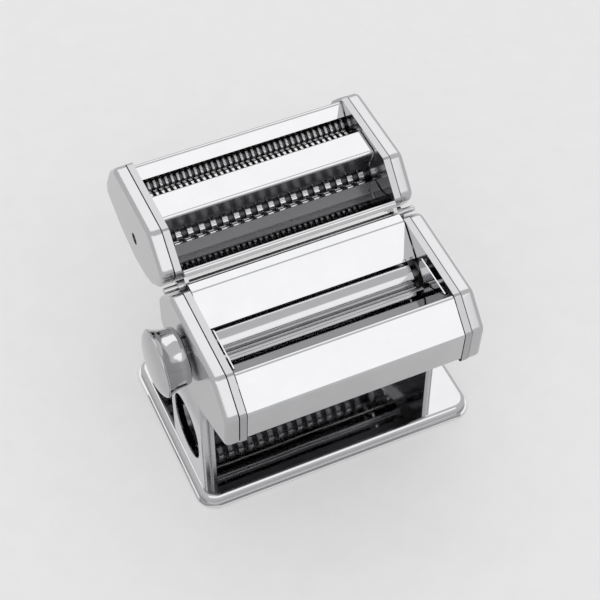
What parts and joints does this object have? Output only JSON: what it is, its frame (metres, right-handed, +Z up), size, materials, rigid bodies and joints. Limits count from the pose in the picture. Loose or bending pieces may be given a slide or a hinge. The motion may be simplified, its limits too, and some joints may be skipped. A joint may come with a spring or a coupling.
{
  "type": "manual pasta machine",
  "caption": "Hand-cranked pasta machine: smooth sheet rollers with a thickness knob, on a chromed stand, with a lift-off cutter for fine and wide noodles.",
  "frame": {"origin": "middle of the underside of the rubber mat, on the table", "axes": "+X to the right, thickness knob at -X; +Y to the back, towards the cutter; +Z up"},
  "size_m": [0.2075, 0.2046, 0.16],
  "materials": {
    "chromed_steel": "mirror-polished chromed sheet",
    "chromed_base": "mirror-polished chromed tray",
    "polished_sheet": "polished stainless sheet, fine lengthwise grain",
    "plate_steel": "nickel-plated steel plate",
    "roller_steel": "ground and polished round steel",
    "gear_steel": "cut steel",
    "bronze": "sintered bronze",
    "rubber": "matt black rubber",
    "spring_steel": "drawn wire",
    "chromed_knob": "turned and chromed",
    "inner_steel": "plain bent or milled steel",
    "plain_steel": "bright drawn bar"
  },
  "bodies": {
    "frame": {"base_pad": "rubber", "base_plate": "chromed_base", "cutter_rest_rod": "plain_steel", "front_panel": "polished_sheet", "front_scraper": "inner_steel", "front_tie_rod": "plain_steel", "left_cheek": "polished_sheet", "left_end_cover": "chromed_steel", "left_front_bush": "bronze", "left_leg_plate": "plate_steel", "left_leg_rivets": "plain_steel", "left_side_frame": "plate_steel", "left_stand": "chromed_steel", "rear_panel": "polished_sheet", "rear_tie_rod": "plain_steel", "right_cheek": "polished_sheet", "right_end_cover": "chromed_steel", "right_front_bush": "bronze", "right_leg_plate": "plate_steel", "right_leg_rivets": "plain_steel", "right_side_frame": "plate_steel", "right_stand": "chromed_steel"},
    "carriage": {"left_bearing_block": "inner_steel", "right_bearing_block": "inner_steel", "carriage_bar": "inner_steel", "rear_scraper": "inner_steel"},
    "front_roller_set": {"front_roller": "roller_steel", "front_roller_gear": "gear_steel"},
    "rear_roller_set": {"rear_roller": "roller_steel", "rear_roller_gear": "gear_steel"},
    "adjuster": {"adjuster_shaft": "plain_steel", "knob_spring": "spring_steel"},
    "knob": {"thickness_knob": "chromed_knob", "knob_cap": "chromed_knob", "detent_pin": "plain_steel"},
    "cutter_unit": {"cutter_back_panel": "polished_sheet", "cutter_front_panel": "polished_sheet", "cutter_left_bushes": "bronze", "cutter_left_cover": "chromed_steel", "cutter_left_hook": "plain_steel", "cutter_left_plate": "plate_steel", "cutter_middle_bar": "polished_sheet", "cutter_right_bushes": "bronze", "cutter_right_cover": "chromed_steel", "cutter_right_hook": "plain_steel", "cutter_right_plate": "plate_steel", "fine_front_comb": "inner_steel", "fine_rear_comb": "inner_steel", "wide_front_comb": "inner_steel", "wide_rear_comb": "inner_steel"},
    "fine_front_set": {"fine_front_cutter": "roller_steel", "fine_front_gear": "gear_steel"},
    "fine_rear_set": {"fine_rear_cutter": "roller_steel", "fine_rear_gear": "gear_steel"},
    "wide_front_set": {"wide_front_cutter": "roller_steel", "wide_front_gear": "gear_steel"},
    "wide_rear_set": {"wide_rear_cutter": "roller_steel", "wide_rear_gear": "gear_steel"}
  },
  "joints": [
    {"name": "front_roller_turn", "type": "hinge", "parent": "frame", "child": "front_roller_set", "pos_m": [0, -0.0405, 0.1035], "axis": [1, 0, 0], "continuous": true},
    {"name": "carriage_slide", "type": "slide", "parent": "frame", "child": "carriage", "axis": [0, 1, 0], "range_m": [0, 0.00256]},
    {"name": "rear_roller_turn", "type": "hinge", "parent": "carriage", "child": "rear_roller_set", "pos_m": [0, -0.016, 0.1035], "axis": [1, 0, 0], "continuous": true},
    {"name": "thickness_turn", "type": "hinge", "parent": "frame", "child": "adjuster", "pos_m": [-0.09, -0.016, 0.1035], "axis": [-1, 0, 0], "range_deg": [0, 160]},
    {"name": "knob_pull", "type": "slide", "parent": "adjuster", "child": "knob", "axis": [-1, 0, 0], "range_m": [0, 0.004], "stiffness_N_per_m": 800, "springref_m": -0.003, "deforming": ["knob_spring"]},
    {"name": "cutter_lift", "type": "slide", "parent": "frame", "child": "cutter_unit", "axis": [0, 0, 1], "range_m": [0, 0.03]},
    {"name": "fine_front_turn", "type": "hinge", "parent": "cutter_unit", "child": "fine_front_set", "pos_m": [0, 0.0792, 0.136], "axis": [1, 0, 0], "continuous": true},
    {"name": "fine_rear_turn", "type": "hinge", "parent": "cutter_unit", "child": "fine_rear_set", "pos_m": [0, 0.0954, 0.136], "axis": [1, 0, 0], "continuous": true},
    {"name": "wide_front_turn", "type": "hinge", "parent": "cutter_unit", "child": "wide_front_set", "pos_m": [0, 0.0459, 0.1215], "axis": [1, 0, 0], "continuous": true},
    {"name": "wide_rear_turn", "type": "hinge", "parent": "cutter_unit", "child": "wide_rear_set", "pos_m": [0, 0.0621, 0.1215], "axis": [1, 0, 0], "continuous": true}
  ],
  "couplings": [
    {"joint": "rear_roller_turn", "follows": "front_roller_turn", "ratio": -1},
    {"joint": "thickness_turn", "follows": "carriage_slide", "rad_per_m": 1090.8},
    {"joint": "fine_rear_turn", "follows": "fine_front_turn", "ratio": -1},
    {"joint": "wide_rear_turn", "follows": "wide_front_turn", "ratio": -1}
  ]
}
